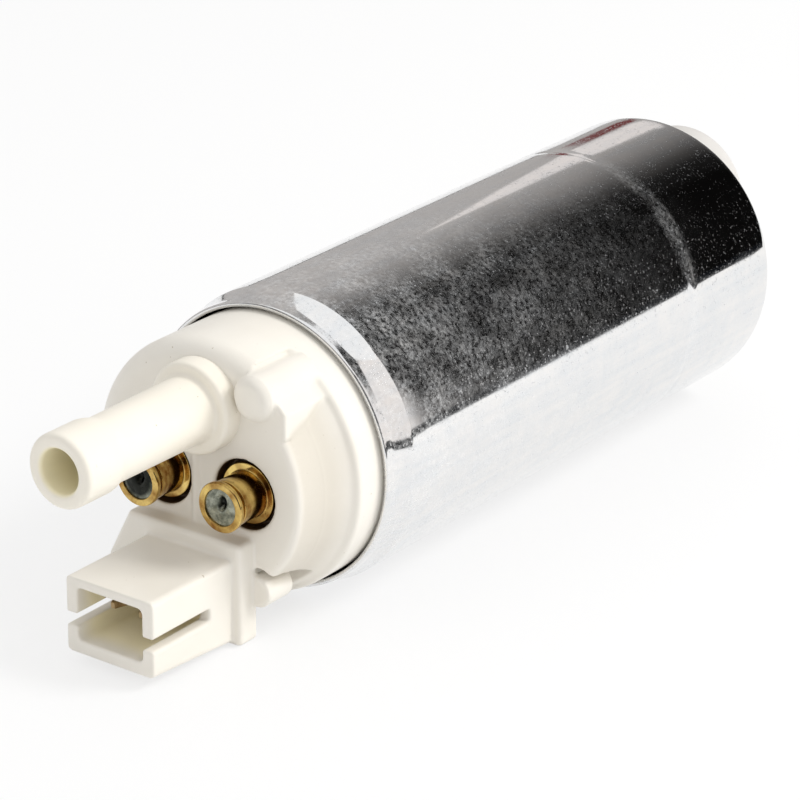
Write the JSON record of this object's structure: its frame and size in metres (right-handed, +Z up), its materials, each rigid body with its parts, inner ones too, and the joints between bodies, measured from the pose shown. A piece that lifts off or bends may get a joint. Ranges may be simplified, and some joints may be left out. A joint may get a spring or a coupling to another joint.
{
  "type": "electric fuel pump",
  "caption": "Cylindrical in-tank electric fuel pump: steel barrel, moulded outlet cap with hose tube, brush holders and a blade connector, inlet boss at the other end.",
  "frame": {"origin": "on the barrel's axis, half way along the steel shell", "axes": "+Y along the barrel's axis from the outlet end to the inlet end, +Z up through the outlet tube's side, the connector at -Z, +X to the right seen from the outlet"},
  "size_m": [0.043, 0.15, 0.043],
  "materials": {
    "shell_steel": "bright plated steel, lightly mottled",
    "cap_plastic": "warm white acetal, soft sheen",
    "tube_plastic": "ivory acetal, soft sheen",
    "cover_plastic": "white acetal, soft sheen",
    "brass": "turned brass, bright",
    "terminal_brass": "tarnished brass",
    "solder": "dull solder",
    "carbon": "pressed carbon, dull",
    "spring_steel": "drawn wire",
    "ball_steel": "ground steel",
    "bronze": "sintered bronze",
    "copper": "copper",
    "insulating_plastic": "dark moulding compound",
    "core_steel": "stacked laminations",
    "magnet": "ferrite, dull",
    "pump_casting": "die cast, matt",
    "impeller_plastic": "phenolic moulding",
    "valve_plastic": "natural acetal",
    "seal_rubber": "black rubber"
  },
  "bodies": {
    "case": {"shell": "shell_steel", "outlet_cap": "cap_plastic", "cap_seal": "seal_rubber", "outlet_fitting": "tube_plastic", "outlet_seal": "seal_rubber", "valve_guide": "valve_plastic", "check_spring": "spring_steel", "relief_seat": "brass", "relief_spring": "spring_steel", "terminal_right": "terminal_brass", "terminal_left": "terminal_brass", "brush_cup_right": "brass", "brush_cup_left": "brass", "solder_right": "solder", "solder_left": "solder", "brush_spring_right": "spring_steel", "brush_spring_left": "spring_steel", "brush_lead_right": "copper", "brush_lead_left": "copper", "front_bush": "bronze", "rear_bush": "bronze", "magnet_right": "magnet", "magnet_left": "magnet", "magnet_clip_upper": "spring_steel", "magnet_clip_lower": "spring_steel", "pump_body": "pump_casting", "inlet_plate": "pump_casting", "thrust_button": "valve_plastic", "inlet_cover": "cover_plastic", "cover_seal": "seal_rubber"},
    "rotor": {"shaft": "ball_steel", "front_washer": "valve_plastic", "rear_washer": "valve_plastic", "commutator": "copper", "commutator_base": "insulating_plastic", "armature_core": "core_steel", "insulator_front": "insulating_plastic", "insulator_rear": "insulating_plastic", "winding": "copper", "impeller": "impeller_plastic"},
    "check_poppet": {"check_valve": "valve_plastic"},
    "relief_stopper": {"relief_ball": "ball_steel"},
    "right_brush": {"brush_right": "carbon"},
    "left_brush": {"brush_left": "carbon"}
  },
  "joints": [
    {"name": "rotor_spin", "type": "hinge", "parent": "case", "child": "rotor", "pos_m": [0, 0, 0], "axis": [0, 1, 0], "continuous": true},
    {"name": "check_valve_slide", "type": "slide", "parent": "case", "child": "check_poppet", "axis": [0, -1, 0], "range_m": [0, 0.0022], "stiffness_N_per_m": 300, "springref_m": -0.002, "deforming": ["check_spring"]},
    {"name": "relief_valve_slide", "type": "slide", "parent": "case", "child": "relief_stopper", "axis": [0, -1, 0], "range_m": [0, 0.0012], "stiffness_N_per_m": 700, "springref_m": -0.002, "deforming": ["relief_spring"]},
    {"name": "brush_right_slide", "type": "slide", "parent": "case", "child": "right_brush", "axis": [0, 1, 0], "range_m": [-0.0025, 0], "stiffness_N_per_m": 60, "springref_m": 0.01, "deforming": ["brush_spring_right", "brush_lead_right"]},
    {"name": "brush_left_slide", "type": "slide", "parent": "case", "child": "left_brush", "axis": [0, 1, 0], "range_m": [-0.0025, 0], "stiffness_N_per_m": 60, "springref_m": 0.01, "deforming": ["brush_spring_left", "brush_lead_left"]}
  ]
}
